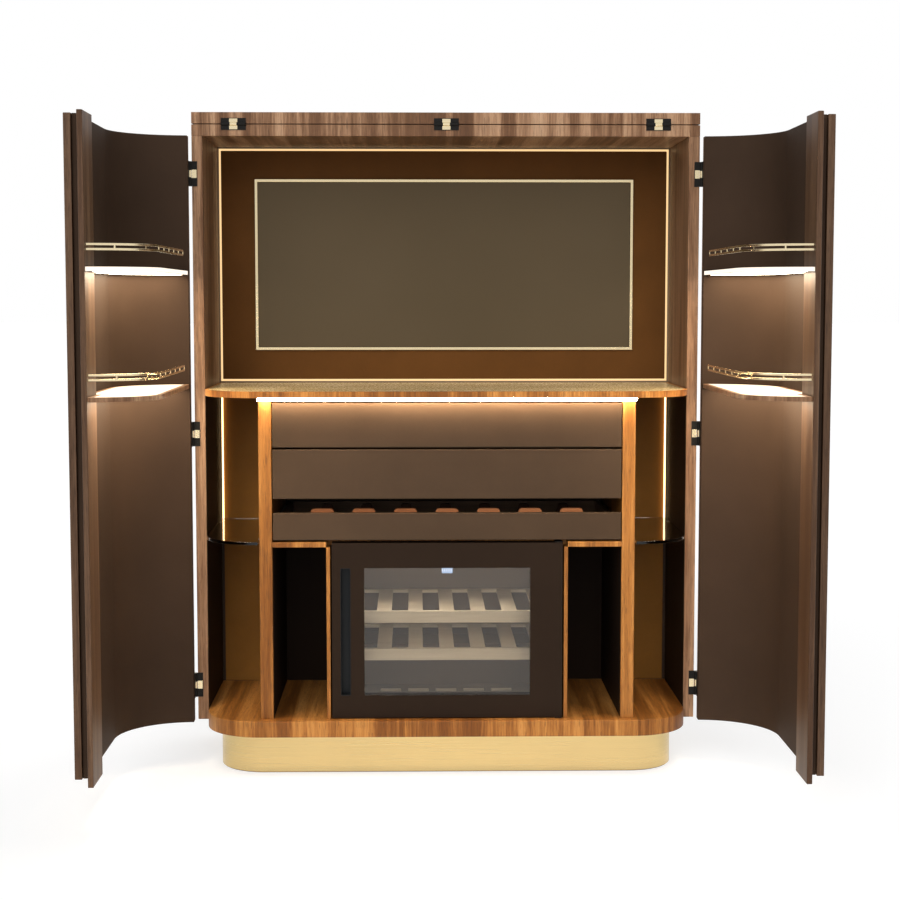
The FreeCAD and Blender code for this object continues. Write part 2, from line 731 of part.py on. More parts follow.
def make_doors_and_lid():
    """Both wrap-round doors with their shelves, the folded lid, and all their hinges."""
    r_lining = door_face_r + door_lining_thick - glue_line
    lower_z = counter_top_z + lower_shelf_lift
    upper_z = lower_z + door_shelf_thick + door_shelf_space
    shelf_tops = (lower_z + door_shelf_thick, upper_z + door_shelf_thick)
    lower_shelf, lower_above, lower_below = door_shelf(lower_z)
    upper_shelf, upper_above, upper_below = door_shelf(upper_z)
    hinges = [door_hinge(z) for z in door_hinge_z]
    pieces = {
        "shell": [door_band(r_lining + glue_line, door_radius, -recess_half)],
        "lining": [door_band(door_face_r, r_lining, -recess_half - lining_short)],
        "stile": [door_stile()],
        "shelf_lower": [lower_shelf],
        "shelf_upper": [upper_shelf],
        "shelf_lights": [lower_above, upper_above],
        "gallery_rails": [piece for z in shelf_tops for piece in gallery_rail(z)],
        "under_lights": [lower_below, upper_below],
        "hinge_leaves": [on_door for _, on_door, _ in hinges],
    }
    for name, shapes in pieces.items():
        opened = [swing_open(shape) for shape in shapes]
        save("left_door_" + name, *opened)
        save("right_door_" + name, *[mirrored(shape) for shape in opened])
    lid_hinges = [lid_hinge(x) for x in lid_hinge_x]
    leaves = []
    pins = []
    for on_case, _, pin in hinges:
        leaves += both_sides(on_case)
        pins += both_sides(pin)
    leaves += [on_top for on_top, _, _ in lid_hinges]
    pins += [pin for _, _, pin in lid_hinges]
    save("case_hinge_leaves", *leaves)
    save("hinge_pins", *pins)
    shut = rounded_front(half, arc_y - door_radius, -door_gap, door_radius, case_height, top_z)
    lid = shut.rotated(V(0, lid_axis_y, lid_axis_z), V(1, 0, 0), -180)
    for x in lid_hinge_x:
        lid = lid.cut(lid_barrel_room(x))
    save("lid_board", lid)
    save("lid_hinge_leaves", *[on_lid for _, on_lid, _ in lid_hinges])


os.makedirs("parts", exist_ok=True)
make_plinth()
make_case()
make_counter()
make_back_wall()
make_lower_unit()
make_drawers()
make_cooler()
make_cooler_door()
make_doors_and_lid()
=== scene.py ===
import bpy
import json
import math
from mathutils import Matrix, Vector

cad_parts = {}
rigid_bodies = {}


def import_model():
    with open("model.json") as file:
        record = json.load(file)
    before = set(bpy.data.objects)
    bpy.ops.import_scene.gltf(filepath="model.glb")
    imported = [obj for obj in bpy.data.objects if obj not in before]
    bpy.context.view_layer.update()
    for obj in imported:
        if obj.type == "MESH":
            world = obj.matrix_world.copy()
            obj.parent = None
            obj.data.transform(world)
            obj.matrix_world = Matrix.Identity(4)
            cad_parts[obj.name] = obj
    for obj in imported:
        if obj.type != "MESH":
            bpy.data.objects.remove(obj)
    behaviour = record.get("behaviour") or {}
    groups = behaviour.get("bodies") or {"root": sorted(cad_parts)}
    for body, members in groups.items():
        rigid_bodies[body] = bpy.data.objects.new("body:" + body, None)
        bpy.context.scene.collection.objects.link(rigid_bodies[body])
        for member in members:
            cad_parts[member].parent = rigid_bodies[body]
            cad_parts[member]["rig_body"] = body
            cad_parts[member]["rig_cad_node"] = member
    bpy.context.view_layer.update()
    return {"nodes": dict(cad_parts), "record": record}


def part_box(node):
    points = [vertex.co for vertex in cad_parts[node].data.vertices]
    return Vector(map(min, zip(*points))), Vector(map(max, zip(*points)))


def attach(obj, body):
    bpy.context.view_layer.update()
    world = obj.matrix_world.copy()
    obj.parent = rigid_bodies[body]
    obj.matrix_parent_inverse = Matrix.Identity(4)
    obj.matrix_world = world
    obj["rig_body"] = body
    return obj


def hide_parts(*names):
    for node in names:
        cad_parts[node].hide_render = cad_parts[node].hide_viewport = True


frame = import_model()
nodes = frame["nodes"]
print("frame loaded:", len(nodes), "solids")


class Sock:  # a shader socket that takes plain arithmetic
    def __init__(self, paint, out):
        self.paint = paint
        self.out = out

    def math(self, operation, other=None, swapped=False):
        pair = [self] if other is None else [self, other]
        if swapped:
            pair.reverse()
        return self.paint.node("ShaderNodeMath", {"operation": operation}, dict(enumerate(pair)))

    def __add__(self, other):
        return self.math("ADD", other)

    def __radd__(self, other):
        return self.math("ADD", other, True)

    def __sub__(self, other):
        return self.math("SUBTRACT", other)

    def __rsub__(self, other):
        return self.math("SUBTRACT", other, True)

    def __mul__(self, other):
        return self.math("MULTIPLY", other)

    def __rmul__(self, other):
        return self.math("MULTIPLY", other, True)

    def __gt__(self, other):
        return self.math("GREATER_THAN", other)

    def __lt__(self, other):
        return self.math("LESS_THAN", other)


class Paint:  # one material and the nodes behind its Principled shader
    labels = {"color": "Base Color", "rough": "Roughness", "metal": "Metallic", "normal": "Normal",
              "coat": "Coat Weight", "coatRough": "Coat Roughness", "sheen": "Sheen Weight",
              "glow": "Emission Color", "glowStrength": "Emission Strength",
              "clear": "Transmission Weight", "ior": "IOR", "specular": "Specular IOR Level"}

    def __init__(self, name, **sockets):
        self.material = bpy.data.materials.new(name)
        self.material.use_nodes = True
        self.tree = self.material.node_tree
        self.surface = self.tree.nodes["Principled BSDF"]
        for label, value in sockets.items():
            self.shade(label, value)

    def node(self, kind, settings=None, inputs=None, out=0):
        made = self.tree.nodes.new(kind)
        for key, value in (settings or {}).items():
            if key == "stops":
                self.setStops(made.color_ramp, value)
            else:
                setattr(made, key, value)
        for key, value in (inputs or {}).items():
            self.feed(made.inputs[key], value)
        return Sock(self, made.outputs[out])

    def setStops(self, band, stops):
        while len(band.elements) < len(stops):
            band.elements.new(1.0)
        for element, (place, color) in zip(band.elements, stops):
            element.position = place
            element.color = (*color, 1.0)

    def feed(self, socket, value):
        if isinstance(value, Sock):
            self.tree.links.new(value.out, socket)
        elif socket.type == "RGBA" and len(value) == 3:
            socket.default_value = (*value, 1.0)
        else:
            socket.default_value = value

    def shade(self, label, value):
        self.feed(self.surface.inputs[self.labels[label]], value)

    def place(self, scale=(1, 1, 1), shift=(0, 0, 0)):  # metres of the part, stretched and moved
        spot = self.node("ShaderNodeTexCoord", out="Object")
        return self.node("ShaderNodeMapping", {}, {"Vector": spot, "Scale": scale, "Location": shift})

    def axis(self, vector, name):
        return self.node("ShaderNodeSeparateXYZ", {}, {"Vector": vector}, name)

    def noise(self, vector, scale, detail=3.0, rough=0.5, warp=0.0):
        return self.node("ShaderNodeTexNoise", {}, {"Vector": vector, "Scale": scale, "Detail": detail,
                                                    "Roughness": rough, "Distortion": warp}, "Fac")

    def ramp(self, value, stops):
        return self.node("ShaderNodeValToRGB", {"stops": stops}, {"Fac": value})

    def mix(self, share, first, second):
        return self.node("ShaderNodeMix", {"data_type": "RGBA"}, {0: share, 6: first, 7: second}, 2)

    def bump(self, height, strength, depth):
        self.shade("normal", self.node("ShaderNodeBump", {}, {"Strength": strength, "Distance": depth,
                                                              "Height": height}))

    def seenShare(self):  # 1 for the rays that should meet a white background
        seen = self.node("ShaderNodeLightPath", out="Is Camera Ray")
        for ray in ("Is Glossy Ray", "Is Transmission Ray"):
            seen = seen.math("MAXIMUM", self.node("ShaderNodeLightPath", out=ray))
        return seen

    def overlay(self, share, shader):  # a second shader over the first
        first = Sock(self, self.surface.outputs[0])
        ending = next(node for node in self.tree.nodes if node.bl_idname.startswith("ShaderNodeOutput"))
        both = self.node("ShaderNodeMixShader", {}, {0: share, 1: first, 2: shader})
        self.feed(ending.inputs["Surface"], both)


class Surround(Paint):  # the world, with the same nodes
    labels = {"color": "Color", "glowStrength": "Strength"}

    def __init__(self, name, **sockets):
        self.world = bpy.data.worlds.new(name)
        self.world.use_nodes = True
        self.tree = self.world.node_tree
        self.surface = self.tree.nodes["Background"]
        for label, value in sockets.items():
            self.shade(label, value)


grainWays = {"up": (30, 30, 1.1), "deep": (30, 1.1, 1.1), "across": (1.1, 30, 30), "along": (30, 1.1, 30)}
walnutShades = {
    "brown": [(0.0, 0.050, 0.022, 0.010), (0.40, 0.125, 0.060, 0.029), (0.52, 0.225, 0.122, 0.066),
              (0.63, 0.33, 0.195, 0.112), (1.0, 0.48, 0.32, 0.205)],
    "honey": [(0.0, 0.070, 0.020, 0.004), (0.40, 0.175, 0.060, 0.011), (0.52, 0.31, 0.122, 0.026),
              (0.63, 0.43, 0.190, 0.048), (1.0, 0.60, 0.31, 0.10)],
}
poreColor = (0.045, 0.022, 0.012)
unlit = (0.0, 0.0, 0.0)


def tinted(color, factor):
    return tuple(min(1.0, c * factor) for c in color)


def shades(dark, light):  # ramp stops from a dark colour to a light one
    return [(0.3, dark), (0.7, light)]


def walnutPaint(name, way, family="brown", tone=1.0, leaf=0.0, contrast=1.0):
    paint = Paint(name, specular=0.22)
    grain = paint.place(grainWays[way], (3.1, 1.7, 0.4))
    figure = paint.noise(grain, 1.0, 5.0, 0.6, 0.5)
    fine = paint.noise(grain, 6.0, 3.0, 0.6)
    slow = paint.noise(grain, 0.16, 2.0)
    pores = paint.noise(grain, 28.0, 2.0, 0.4)
    value = (figure * 0.55 + fine * 0.3 + slow * 0.3 - 0.58) * contrast + 0.5
    if leaf:  # veneer leaves laid side by side, each a little lighter or darker
        swing = 0.12 * contrast
        strip = (paint.axis(paint.place(), "X") * (1 / leaf)).math("FLOOR")
        chance = paint.node("ShaderNodeTexWhiteNoise", {"noise_dimensions": "1D"}, {"W": strip})
        value = value + chance * swing - swing / 2
    color = paint.ramp(value, [(at, tinted(rgb, tone)) for at, *rgb in walnutShades[family]])
    paint.shade("color", paint.mix((pores < 0.40) * 0.45, color, tinted(poreColor, tone)))
    paint.shade("rough", 0.36 + fine * 0.16)
    paint.bump(pores * 0.6 + fine * 0.4, 0.12, 0.0004)
    return paint.material


def palePaint(name, way, dark, light, rough=0.5):
    paint = Paint(name)
    grain = paint.place(grainWays[way], (1.3, 0.2, 2.2))
    bands = paint.noise(grain, 1.4, 4.0, 0.55, 0.3)
    fine = paint.noise(grain, 9.0, 2.0)
    paint.shade("color", paint.ramp(bands * 0.65 + fine * 0.35, shades(dark, light)))
    paint.shade("rough", rough - 0.06 + fine * 0.12)
    paint.bump(fine, 0.1, 0.0003)
    return paint.material


def cradlePaint(name, dark, light, rearColor, rearFrom):  # red-brown wood, the cradle nearly black behind a line towards the back
    paint = Paint(name, specular=0.2)
    bands = paint.noise(paint.place(grainWays["across"]), 1.4, 4.0, 0.55, 0.3)
    rear = paint.axis(paint.place(), "Y") > rearFrom
    paint.shade("color", paint.mix(rear * 0.93, paint.ramp(bands, shades(dark, light)), rearColor))
    paint.shade("rough", 0.45 + bands * 0.12)
    return paint.material


def hidePaint(name, color, rough=0.52, gloss=0.2, sheen=0.0):
    paint = Paint(name, sheen=sheen, specular=gloss)
    spot = paint.place()
    pebble = paint.node("ShaderNodeTexVoronoi", {"feature": "SMOOTH_F1"},
                        {"Vector": spot, "Scale": 620.0, "Smoothness": 0.6}, "Distance")
    crease = paint.noise(spot, 240.0, 3.0)
    cloud = paint.noise(spot, 5.0, 4.0, 0.6)
    tones = shades(tinted(color, 0.86), tinted(color, 1.14))
    paint.shade("color", paint.ramp(cloud * 0.8 + crease * 0.2, tones))
    paint.shade("rough", rough - 0.08 + crease * 0.16)
    paint.bump(pebble * 0.6 + crease * 0.4, 0.22, 0.0005)
    return paint.material


def metalPaint(name, color, rough, brush=(4, 400, 400), metal=1.0, depth=0.25, glow=0.0, gloss=0.5):
    paint = Paint(name, metal=metal, specular=gloss, glow=color, glowStrength=glow)
    lines = paint.noise(paint.place(brush), 1.0, 3.0, 0.6)
    cloud = paint.noise(paint.place(), 3.0, 3.0)
    tones = shades(tinted(color, 0.93), tinted(color, 1.05))
    paint.shade("color", paint.ramp(cloud * 0.5 + lines * 0.5, tones))
    paint.shade("rough", rough * 0.8 + lines * (rough * 0.4))
    paint.bump(lines, depth, 0.00008)
    return paint.material


def stonePaint(name, tones, veinColor):  # tones from the ground to the palest cloud
    paint = Paint(name, coat=0.08, coatRough=0.15, specular=0.3)
    spot = paint.place((1.0, 1.6, 1.0), (0.3, 0.9, 0))
    cloud = paint.noise(spot, 3.2, 6.0, 0.62, 0.9)
    drift = paint.noise(spot, 1.5, 4.0, 0.55, 2.4)
    vein = ((drift - 0.5).math("ABSOLUTE") < 0.012) * paint.noise(spot, 9.0, 2.0)
    speck = paint.noise(spot, 160.0, 2.0)
    color = paint.ramp(cloud * 0.86 + speck * 0.14, list(zip((0.3, 0.5, 0.72), tones)))
    paint.shade("color", paint.mix(vein * 0.8, color, veinColor))
    paint.shade("rough", 0.2 + speck * 0.14)
    return paint.material


def litEdgePaint(name, dark, light, glow):  # dark wood with a lit profile round its edge
    paint = Paint(name, rough=0.45, specular=0.2, glowStrength=1.15)
    grain = paint.noise(paint.place(grainWays["along"]), 1.0, 4.0, 0.6)
    edge = paint.axis(paint.node("ShaderNodeTexCoord", out="Normal"), "Z").math("ABSOLUTE") < 0.5
    paint.shade("color", paint.ramp(grain, shades(dark, light)))
    paint.shade("glow", paint.mix(edge, unlit, glow))
    return paint.material


def mirrorPaint(name, dark, light):
    paint = Paint(name, metal=0.4, specular=0.12)
    smoke = paint.noise(paint.place(), 1.6, 3.0)
    paint.shade("color", paint.ramp(smoke, shades(dark, light)))
    paint.shade("rough", 0.18 + smoke * 0.06)
    return paint.material


def lightPaint(name, color, strength):
    paint = Paint(name, color=(0.30, 0.25, 0.17), rough=0.5, glowStrength=strength)
    beads = paint.noise(paint.place(), 60.0, 1.0)
    paint.shade("glow", paint.ramp(beads, [(0.2, tinted(color, 0.92)), (0.8, color)]))
    return paint.material


caseLight = {"strength": 80.0, "wallShare": 0.013, "nicheShare": 0.038, "line": 0.0055, "frontOf": -0.1}


def casePaint(name, color, cream):  # bright under the counter edge, a fine soft line round wall and niches
    paint = Paint(name, color=(0.20, 0.14, 0.08), rough=0.5, glowStrength=caseLight["strength"])
    spot = paint.place()
    across, deep, up = [paint.axis(spot, way) for way in "XYZ"]
    liningLow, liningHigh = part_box("back_lining")
    under = deep < caseLight["frontOf"]
    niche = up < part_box("counter_board")[0].z
    sides = across.math("ABSOLUTE") < liningHigh.x + caseLight["line"]
    ends = (up < liningHigh.z + caseLight["line"]) * (up > liningLow.z - caseLight["line"])
    share = niche * caseLight["nicheShare"] + caseLight["wallShare"]
    level = under.math("MAXIMUM", share * sides * ends.math("MAXIMUM", niche))
    paint.shade("glow", paint.mix(level, unlit, paint.mix(under, color, cream)))
    return paint.material


def glassPaint(name, color, rough=0.0):
    paint = Paint(name, color=color, clear=1.0, ior=1.46)
    smear = paint.noise(paint.place(), 7.0, 3.0)
    paint.shade("rough", rough + smear * 0.02)
    return paint.material


def plasticPaint(name, color, rough, grain=900.0, depth=0.12, gloss=0.2):
    paint = Paint(name, specular=gloss)
    spot = paint.place()
    texture = paint.noise(spot, grain, 2.0)
    cloud = paint.noise(spot, 4.0, 3.0)
    paint.shade("color", paint.ramp(cloud, shades(tinted(color, 0.93), tinted(color, 1.07))))
    paint.shade("rough", rough - 0.05 + texture * 0.1)
    paint.bump(texture, depth, 0.0003)
    return paint.material


def screenPaint(name, ground, bar, count):  # a lit panel with plain paler bars
    paint = Paint(name, color=(0.02, 0.03, 0.05), rough=0.15, glowStrength=1.1)
    spot = paint.place()
    low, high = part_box("cooler_display")
    across = (paint.axis(spot, "X") - low.x) * (1 / (high.x - low.x))
    up = (paint.axis(spot, "Z") - low.z) * (1 / (high.z - low.z))
    bars = ((across * count).math("FRACT") < 0.6) * ((up - 0.5).math("ABSOLUTE") < 0.22)
    paint.shade("glow", paint.mix(bars, ground, bar))
    return paint.material


stoneTones = [(0.52, 0.385, 0.180), (0.66, 0.505, 0.255), (0.78, 0.625, 0.36)]
paints = {
    "walnutUp": walnutPaint("walnutUpright", "up", "brown", 1.1, 0.0, 1.3),
    "walnutDeep": walnutPaint("walnutCrossBanded", "deep", "brown", 1.15, 0.035, 1.5),
    "walnutGold": walnutPaint("walnutHoneyEdge", "deep", "honey", 1.0, 0.05, 1.3),
    "walnutPost": walnutPaint("walnutHoneyUpright", "up", "honey"),
    "walnutDoor": walnutPaint("walnutDoor", "up", "brown", 0.5),
    # a brighter copy of the honey walnut for the counter edge: painted light on that edge
    "walnutCounter": walnutPaint("walnutCounterEdge", "deep", "honey", 1.35, 0.05, 1.2),
    "hideDoor": hidePaint("doorHide", (0.040, 0.0240, 0.0155), 0.62, 0.06),
    "hideFront": hidePaint("drawerHide", (0.056, 0.0345, 0.0205), 0.55, 0.1),
    "hideWall": hidePaint("backWallHide", (0.105, 0.0430, 0.0110), 0.55, 0.06),
    # golden hide, a brighter copy of the back wall hide: painted light on the niche backs
    "hideNichePaintedLight": hidePaint("nicheGoldHide", (0.230, 0.1000, 0.0200), 0.55, 0.1),
    # near-black hide: painted shade laid on the niche sides and in the bays beside the cooler
    "hidePaintedShade": hidePaint("nicheHide", (0.014, 0.008, 0.005), 0.6, 0.1),
    "brass": metalPaint("polishedBrass", (0.86, 0.63, 0.27), 0.2),
    "brassPale": metalPaint("paleBrass", (0.80, 0.67, 0.43), 0.24),
    "brassPlinth": metalPaint("plinthBrass", (0.665, 0.50, 0.235), 0.26, (3, 3, 500)),
    # the mirror frame's brass glows faintly though it is no lamp: painted light
    "brassLit": metalPaint("mirrorFrameBrass", (0.70, 0.58, 0.36), 0.25, glow=0.1),
    "stone": stonePaint("veinedStone", stoneTones, (0.84, 0.72, 0.50)),
    "mirror": mirrorPaint("bronzeMirror", (0.088, 0.063, 0.034), (0.100, 0.072, 0.040)),
    "ledWarm": casePaint("warmLight", (1.0, 0.66, 0.31), (1.0, 0.80, 0.55)),
    "ledUnder": lightPaint("shelfUnderLight", (1.0, 0.84, 0.62), 20.0),
    "litEdge": litEdgePaint("litShelfEdge", (0.09, 0.045, 0.022), (0.21, 0.115, 0.062), (1.0, 0.94, 0.82)),
    "ledPanel": lightPaint("shelfPanelLight", (1.0, 0.95, 0.84), 0.9),
    "ledCooler": lightPaint("coolerLight", (1.0, 0.93, 0.82), 26.0),
    "glass": glassPaint("clearGlass", (0.93, 0.96, 0.94)),
    "smoked": glassPaint("smokedGlass", (0.84, 0.81, 0.77), 0.01),
    "steel": metalPaint("zincSteel", (0.55, 0.55, 0.57), 0.34),
    "black": metalPaint("blackHinge", (0.012, 0.011, 0.010), 0.42, (300, 300, 300), 0.2, 0.12, gloss=0.12),
    "coolerFrame": plasticPaint("coolerFrame", (0.0190, 0.0115, 0.0075), 0.55, 900.0, 0.12, 0.06),
    "coolerGrip": plasticPaint("coolerGrip", (0.006, 0.007, 0.008), 0.45),
    "coolerLiner": plasticPaint("coolerLiner", (0.27, 0.215, 0.172), 0.5),
    "beech": palePaint("paleBeech", "across", (0.70, 0.59, 0.42), (0.88, 0.78, 0.60)),
    "innerWood": palePaint("drawerWood", "across", (0.085, 0.045, 0.024), (0.16, 0.090, 0.050)),
    "cradle": cradlePaint("cradleWood", (0.25, 0.085, 0.030), (0.40, 0.150, 0.058),
                          (0.010, 0.006, 0.004), 0.05),
    "rubber": plasticPaint("doorSeal", (0.02, 0.02, 0.02), 0.7),
    "felt": hidePaint("drawerFelt", (0.055, 0.030, 0.020), 0.9, 0.1, 0.4),
    "screen": screenPaint("litScreen", (0.42, 0.55, 0.80), (0.74, 0.84, 1.0), 5),
    "backBoard": plasticPaint("backBoard", (0.040, 0.026, 0.018), 0.6, 500.0, 0.2),
}
print("paints mixed:", len(paints))

meshing = {"mergeGap": 0.00002, "flatDegrees": 0.3, "sameSpot": 1e-6, "facing": 0.9, "smoothDegrees": 35}


def pickOnly(piece):
    bpy.ops.object.select_all(action="DESELECT")
    piece.select_set(True)
    bpy.context.view_layer.objects.active = piece


def editing(on):
    bpy.ops.object.mode_set(mode="EDIT" if on else "OBJECT")


def dropChoice(piece):  # leaves edit mode with nothing of the mesh selected
    editing(False)
    for part in (*piece.data.vertices, *piece.data.edges, *piece.data.polygons):
        part.select = False


def chooseEdges(piece, test):  # selects the edges whose two ends pass a test, in edit mode
    dropChoice(piece)
    for edge in piece.data.edges:
        edge.select = test(*(piece.data.vertices[i].co for i in edge.vertices))
    bpy.context.tool_settings.mesh_select_mode = (False, True, False)
    editing(True)


def chooseFaces(piece, *ways):  # selects the faces that point along one of the ways, in edit mode
    dropChoice(piece)
    for face in piece.data.polygons:
        face.select = any(face.normal.dot(Vector(way)) > meshing["facing"] for way in ways)
    bpy.context.tool_settings.mesh_select_mode = (False, False, True)
    editing(True)


def sinkField(piece, way, rim, depth):  # the face that points along a way is inset by a rim and pushed in
    chooseFaces(piece, way)
    bpy.ops.mesh.inset(thickness=rim)
    bpy.ops.mesh.extrude_region_move(TRANSFORM_OT_translate={"value": Vector(way) * -depth})
    editing(False)


def turnOutwards():  # the faces of the active piece, all turned to point outwards
    editing(True)
    bpy.ops.mesh.select_all(action="SELECT")
    bpy.ops.mesh.normals_make_consistent(inside=False)
    editing(False)


def bakeModifier(piece, kind, **settings):
    pickOnly(piece)
    made = piece.modifiers.new(kind.lower(), kind)
    for key, value in settings.items():
        setattr(made, key, value)
    bpy.ops.object.modifier_apply(modifier=made.name)


def smooth(piece):
    pickOnly(piece)
    bpy.ops.object.shade_smooth_by_angle(angle=math.radians(meshing["smoothDegrees"]))


def soften(piece, edge, steps=2, degrees=40):
    if edge:
        bakeModifier(piece, "BEVEL", width=edge, segments=steps, limit_method="ANGLE",
                     angle_limit=math.radians(degrees), harden_normals=False)
    smooth(piece)


def settle():  # puts the active piece's place, turn and scale into its mesh
    bpy.ops.object.transform_apply(location=True, rotation=True, scale=True)
    return bpy.context.view_layer.objects.active


def block(name, low, high):  # a cube between two corners
    bpy.ops.object.select_all(action="DESELECT")
    middle = [(a + b) / 2 for a, b in zip(low, high)]
    bpy.ops.mesh.primitive_cube_add(size=1, location=middle)
    piece = bpy.context.view_layer.objects.active
    piece.name = name
    piece.scale = [b - a for a, b in zip(low, high)]
    return settle()


def rod(name, start, end, radius, sides):
    bpy.ops.object.select_all(action="DESELECT")
    start = Vector(start)
    run = Vector(end) - start
    bpy.ops.mesh.primitive_cylinder_add(vertices=sides, radius=radius, depth=run.length,
                                        location=start + run / 2)
    piece = bpy.context.view_layer.objects.active
    piece.name = name
    piece.rotation_mode = "QUATERNION"
    piece.rotation_quaternion = run.to_track_quat("Z", "Y")
    return settle()


def joined(name, pieces):
    pickOnly(pieces[0])
    for piece in pieces:
        piece.select_set(True)
    if len(pieces) > 1:
        bpy.ops.object.join()
    pieces[0].name = name
    return pieces[0]


def doubled(piece):
    pickOnly(piece)
    bpy.ops.object.duplicate()
    return bpy.context.view_layer.objects.active


def copied(piece, spot, turn=0.0):  # turned about the upright axis, then moved
    other = doubled(piece)
    other.location = spot
    other.rotation_euler.z = turn
    return settle()


def mirrored(piece, name):
    other = doubled(piece)
    other.name = name
    other.scale.x = -1
    settle()
    turnOutwards()
    return other


def softCopy(nodeName, name, edge=0.0012, steps=2):  # the solid itself, merged and with its edges eased
    piece = doubled(nodes[nodeName])
    piece.parent = None
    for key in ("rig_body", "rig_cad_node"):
        del piece[key]
    piece.name = name
    pickOnly(piece)
    editing(True)
    bpy.ops.mesh.select_all(action="SELECT")
    bpy.ops.mesh.remove_doubles(threshold=meshing["mergeGap"])
    bpy.ops.mesh.dissolve_limited(angle_limit=math.radians(meshing["flatDegrees"]))
    bpy.ops.mesh.normals_make_consistent(inside=False)
    editing(False)
    soften(piece, edge, steps)
    return piece


def dress(piece, paint, body, slot, *replaced):
    bakeModifier(piece, "WEIGHTED_NORMAL", keep_sharp=True)  # broad faces stay flat beside eased edges
    piece.data.materials.clear()
    piece.data.materials.append(paints[paint])
    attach(piece, body)
    if replaced:
        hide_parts(*replaced)


def roundBoard(name, low, high, radius, steps=20):  # a board with two round front corners
    piece = block(name, low, high)

    def uprightInFront(a, b):
        return max(abs(a.y - low[1]), abs(b.y - low[1]), abs(a.x - b.x)) < meshing["sameSpot"]

    chooseEdges(piece, uprightInFront)
    bpy.ops.mesh.bevel(offset=radius, segments=steps, affect="EDGES", clamp_overlap=False)
    bpy.ops.mesh.select_all(action="SELECT")
    bpy.ops.mesh.remove_doubles(threshold=meshing["mergeGap"])
    editing(False)
    return piece


def bentSheet(name, points, radius, z0, z1, thick, steps):  # an upright L-shaped sheet, its corner rounded
    start, corner, end = (Vector((*point, 0)) for point in points)
    bpy.ops.object.select_all(action="DESELECT")
    bpy.ops.mesh.primitive_plane_add(size=1)
    piece = bpy.context.view_layer.objects.active
    piece.name = name
    places = [(start, z0), (corner, z0), (start, z1), (corner, z1)]
    for vert, (spot, z) in zip(piece.data.vertices, places):
        vert.co = (spot.x, spot.y, z)

    def atCorner(*ends):
        return all((spot.xy - corner.xy).length < meshing["sameSpot"] for spot in ends)

    chooseEdges(piece, atCorner)
    bpy.ops.mesh.extrude_edges_move(TRANSFORM_OT_translate={"value": end - corner})
    chooseEdges(piece, atCorner)
    bpy.ops.mesh.bevel(offset=radius, segments=steps, affect="EDGES", clamp_overlap=False)
    bpy.ops.mesh.select_all(action="SELECT")
    bpy.ops.mesh.remove_doubles(threshold=meshing["mergeGap"])
    bpy.ops.mesh.normals_make_consistent(inside=False)
    editing(False)
    inside = (start + end + Vector((0, 0, z0 + z1))) / 2
    face = piece.data.polygons[0]
    outward = (face.center - inside).dot(face.normal) > 0
    bakeModifier(piece, "SOLIDIFY", thickness=thick, offset=-1.0 if outward else 1.0, use_even_offset=True)
    turnOutwards()
    return piece


# Case boards
caseBoards = {
    "side_left": ("sideLeft", "walnutUp", 0.0015),
    "side_right": ("sideRight", "walnutUp", 0.0015),
    "top_board": ("topBoard", "walnutDeep", 0.0012),
    "dividers": ("dividers", "walnutPost", 0.0012),
    "cooler_side_panels": ("coolerSidePanels", "walnutPost", 0.0008),
    "drawer_deck": ("drawerDeck", "walnutGold", 0.0010),
}
for nodeName, (name, paint, edge) in caseBoards.items():
    dress(softCopy(nodeName, name, edge), paint, "case", "walnut", nodeName)

# Back panel with a sunk field and a row of screws round it
backField = {"rim": 0.030, "sink": 0.002, "edge": 0.0010, "inset": 0.016, "rows": 6, "columns": 4}
backScrew = {"radius": 0.0045, "proud": 0.0009, "slotRim": 0.5, "slotDepth": 0.7, "sides": 24}
backPanel = softCopy("back_panel", "backPanel", 0.0)
sinkField(backPanel, (0, 1, 0), backField["rim"], backField["sink"])
soften(backPanel, backField["edge"])
dress(backPanel, "backBoard", "case", "walnut", "back_panel")
backLow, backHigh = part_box("back_panel")
margin = Vector((1, 0, 1)) * (backField["rim"] + backField["inset"])
fieldLow = backLow + margin
fieldSpan = backHigh - margin - fieldLow
oneScrew = rod("screw", (0, 0, 0), (0, backScrew["proud"], 0), backScrew["radius"], backScrew["sides"])
sinkField(oneScrew, (0, 1, 0), backScrew["radius"] * backScrew["slotRim"],
          backScrew["proud"] * backScrew["slotDepth"])
smooth(oneScrew)
lastRow, lastColumn = backField["rows"] - 1, backField["columns"] - 1
backScrews = []
for row in range(backField["rows"]):
    for column in range(backField["columns"]):
        if row in (0, lastRow) or column in (0, lastColumn):
            x = fieldLow.x + fieldSpan.x * column / lastColumn
            z = fieldLow.z + fieldSpan.z * row / lastRow
            backScrews.append(copied(oneScrew, (x, backHigh.y - backField["sink"], z)))
bpy.data.objects.remove(oneScrew)
dress(joined("backScrews", backScrews), "steel", "case", "steel")
dress(softCopy("lid_board", "lidBoard"), "walnutDeep", "lid", "walnut", "lid_board")
print("case boards softened")

# Base, counter and plinth, with their round front corners
roundCorner = {"base": 0.149, "counter": 0.149, "rim": 0.009, "inlay": 0.006, "plinth": 0.122,
               "plinthSkin": 0.003, "plinthSteps": 28, "baseEdge": 0.0025, "edge": 0.0008}
baseLow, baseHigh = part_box("base_board")
base = roundBoard("baseBoard", baseLow, baseHigh, roundCorner["base"])
soften(base, roundCorner["baseEdge"], 3)
dress(base, "walnutGold", "case", "walnut", "base_board")

counterLow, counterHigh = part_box("counter_board")
counter = roundBoard("counterBoard", counterLow, counterHigh, roundCorner["counter"])
sinkField(counter, (0, 0, 1), roundCorner["rim"], roundCorner["inlay"])
soften(counter, roundCorner["edge"])
dress(counter, "walnutCounter", "case", "walnut", "counter_board")
stone = roundBoard("counterStone", *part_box("counter_stone"), roundCorner["counter"] - roundCorner["rim"])
soften(stone, roundCorner["edge"])
dress(stone, "stone", "case", "stone", "counter_stone")

